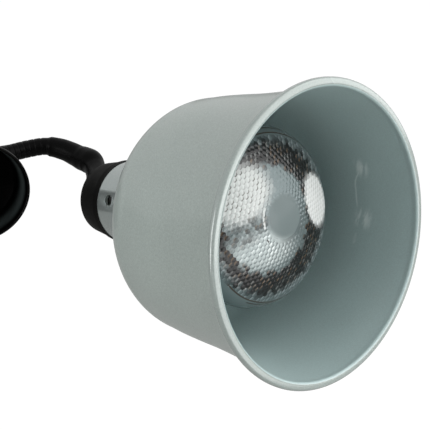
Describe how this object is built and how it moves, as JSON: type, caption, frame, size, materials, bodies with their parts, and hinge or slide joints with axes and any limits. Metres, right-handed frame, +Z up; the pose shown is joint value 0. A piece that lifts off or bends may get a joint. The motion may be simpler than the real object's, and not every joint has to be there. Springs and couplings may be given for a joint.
{
  "type": "food warming lamp",
  "caption": "Food warming lamp: round black mounting cup, flexible black arm, tapered cap, vented collar, spun silver bell shade and large reflector bulb.",
  "frame": {"origin": "centre of the cup's mounting face, midway between the strap's two slots", "axes": "+Y along the cup's axis away from the surface it is fixed to, +Z up along the line of the slots, +X to the side where the lamp hangs"},
  "size_m": [0.3215, 0.3811, 0.2072],
  "materials": {
    "black_cup": "satin black paint",
    "black_fitting": "matte black paint",
    "black_cap": "matte black paint",
    "black_hose": "matte, ribbed",
    "black_boot": "matte, smooth",
    "zinc_steel": "zinc plated",
    "collar_metal": "satin",
    "shade_metal": "satin silver",
    "white_plastic": "moulded",
    "porcelain": "glazed",
    "brass": "bright",
    "bulb_glass": "dimpled face, silvered bowl",
    "stem_glass": "clear",
    "cap_metal": "bright",
    "black_glass": "glossy",
    "support_wire": "drawn wire",
    "tungsten": "dull grey"
  },
  "bodies": {
    "mount": {"mounting_cup": "black_cup", "mounting_strap": "zinc_steel", "cup_screw_upper": "zinc_steel", "cup_screw_lower": "zinc_steel", "terminal_block": "white_plastic", "arm_base_fitting": "black_fitting", "arm_base_nut": "zinc_steel", "arm_base_washer": "zinc_steel"},
    "arm_link_01": {"arm_link_01": "black_hose"},
    "arm_link_02": {"arm_link_02": "black_hose"},
    "arm_link_03": {"arm_link_03": "black_hose"},
    "arm_link_04": {"arm_link_04": "black_hose"},
    "arm_link_05": {"arm_link_05": "black_hose"},
    "arm_link_06": {"arm_link_06": "black_hose"},
    "arm_link_07": {"arm_link_07": "black_hose"},
    "boot_link_08": {"boot_link_08": "black_boot"},
    "boot_link_09": {"boot_link_09": "black_boot"},
    "boot_link_10": {"boot_link_10": "black_boot"},
    "boot_link_11": {"boot_link_11": "black_boot"},
    "boot_link_12": {"boot_link_12": "black_boot"},
    "boot_link_13": {"boot_link_13": "black_boot"},
    "boot_link_14": {"boot_link_14": "black_boot"},
    "head": {"arm_head_fitting": "black_fitting", "lamp_cap": "black_cap", "arm_head_nut": "zinc_steel", "holder_bracket": "zinc_steel", "vented_collar": "collar_metal", "collar_screw_1": "zinc_steel", "collar_screw_2": "zinc_steel", "lamp_shade": "shade_metal", "shade_rivet_1": "collar_metal", "shade_rivet_2": "collar_metal", "shade_rivet_3": "collar_metal", "lampholder_body": "porcelain", "lampholder_screw_shell": "brass", "lampholder_contact": "brass"},
    "bulb": {"bulb_envelope": "bulb_glass", "bulb_screw_cap": "cap_metal", "bulb_cap_insulator": "black_glass", "bulb_end_contact": "cap_metal", "bulb_stem": "stem_glass", "filament_supports": "support_wire", "filament": "tungsten"}
  },
  "joints": [
    {"name": "arm_base_lift", "type": "hinge", "parent": "mount", "child": "arm_link_01", "pos_m": [0, 0.04, 0], "axis": [1, 0, 0], "range_deg": [-15, 15]},
    {"name": "arm_bend_01", "type": "hinge", "parent": "arm_link_01", "child": "arm_link_02", "pos_m": [0.0038, 0.05593, -0.00354], "axis": [-0.4061, -0.1046, -0.9078], "range_deg": [-12.14, 1.82]},
    {"name": "arm_bend_02", "type": "hinge", "parent": "arm_link_02", "child": "arm_link_03", "pos_m": [0.01065, 0.07047, -0.00827], "axis": [0.2368, -0.3997, -0.8856], "range_deg": [-10.61, 1.59]},
    {"name": "arm_bend_03", "type": "hinge", "parent": "arm_link_03", "child": "arm_link_04", "pos_m": [0.02009, 0.08385, -0.01179], "axis": [0.1174, -0.329, -0.937], "range_deg": [-12.7, 1.91]},
    {"name": "arm_bend_04", "type": "hinge", "parent": "arm_link_04", "child": "arm_link_05", "pos_m": [0.03231, 0.09506, -0.01419], "axis": [0.0179, -0.2282, -0.9734], "range_deg": [-15.58, 2.34]},
    {"name": "arm_bend_05", "type": "hinge", "parent": "arm_link_05", "child": "arm_link_06", "pos_m": [0.04716, 0.10266, -0.0157], "axis": [-0.043, -0.113, -0.9927], "range_deg": [-18.13, 2.72]},
    {"name": "arm_bend_06", "type": "hinge", "parent": "arm_link_06", "child": "arm_link_07", "pos_m": [0.06368, 0.10528, -0.01671], "axis": [-0.0617, 0.0026, -0.9981], "range_deg": [-19.03, 2.85]},
    {"name": "arm_bend_07", "type": "hinge", "parent": "arm_link_07", "child": "boot_link_08", "pos_m": [0.08014, 0.10236, -0.01774], "axis": [-0.0441, 0.1002, -0.994], "range_deg": [-18.62, 2.79]},
    {"name": "arm_bend_08", "type": "hinge", "parent": "boot_link_08", "child": "boot_link_09", "pos_m": [0.09479, 0.09436, -0.01919], "axis": [-0.0121, 0.1576, -0.9874], "range_deg": [-18.69, 2.8]},
    {"name": "arm_bend_09", "type": "hinge", "parent": "boot_link_09", "child": "boot_link_10", "pos_m": [0.10606, 0.08213, -0.02128], "axis": [-0.0052, 0.1638, -0.9865], "range_deg": [-20.34, 3.05]},
    {"name": "arm_bend_10", "type": "hinge", "parent": "boot_link_10", "child": "boot_link_11", "pos_m": [0.11231, 0.06681, -0.02386], "axis": [-0.0682, 0.1384, -0.988], "range_deg": [-21.51, 3.23]},
    {"name": "arm_bend_11", "type": "hinge", "parent": "boot_link_11", "child": "boot_link_12", "pos_m": [0.11245, 0.05022, -0.02619], "axis": [-0.265, 0.1321, -0.9552], "range_deg": [-16.42, 2.46]},
    {"name": "head_tilt", "type": "hinge", "parent": "boot_link_12", "child": "boot_link_13", "pos_m": [0.10801, 0.03409, -0.02719], "axis": [0.9642, -0.2653, 0], "range_deg": [-15, 15]},
    {"name": "arm_bend_13", "type": "hinge", "parent": "boot_link_13", "child": "boot_link_14", "pos_m": [0.10293, 0.01815, -0.02627], "axis": [-0.4209, 0.1855, 0.8879], "range_deg": [-12.56, 1.88]},
    {"name": "head_turn", "type": "hinge", "parent": "boot_link_14", "child": "head", "pos_m": [0.1011, 0.0017, -0.0237], "axis": [-0.2485, 0.1764, 0.9524], "range_deg": [-44, 4]},
    {"name": "bulb_withdraw", "type": "slide", "parent": "head", "child": "bulb", "axis": [0.3328, -0.8992, 0.284], "range_m": [0, 0.225]}
  ]
}
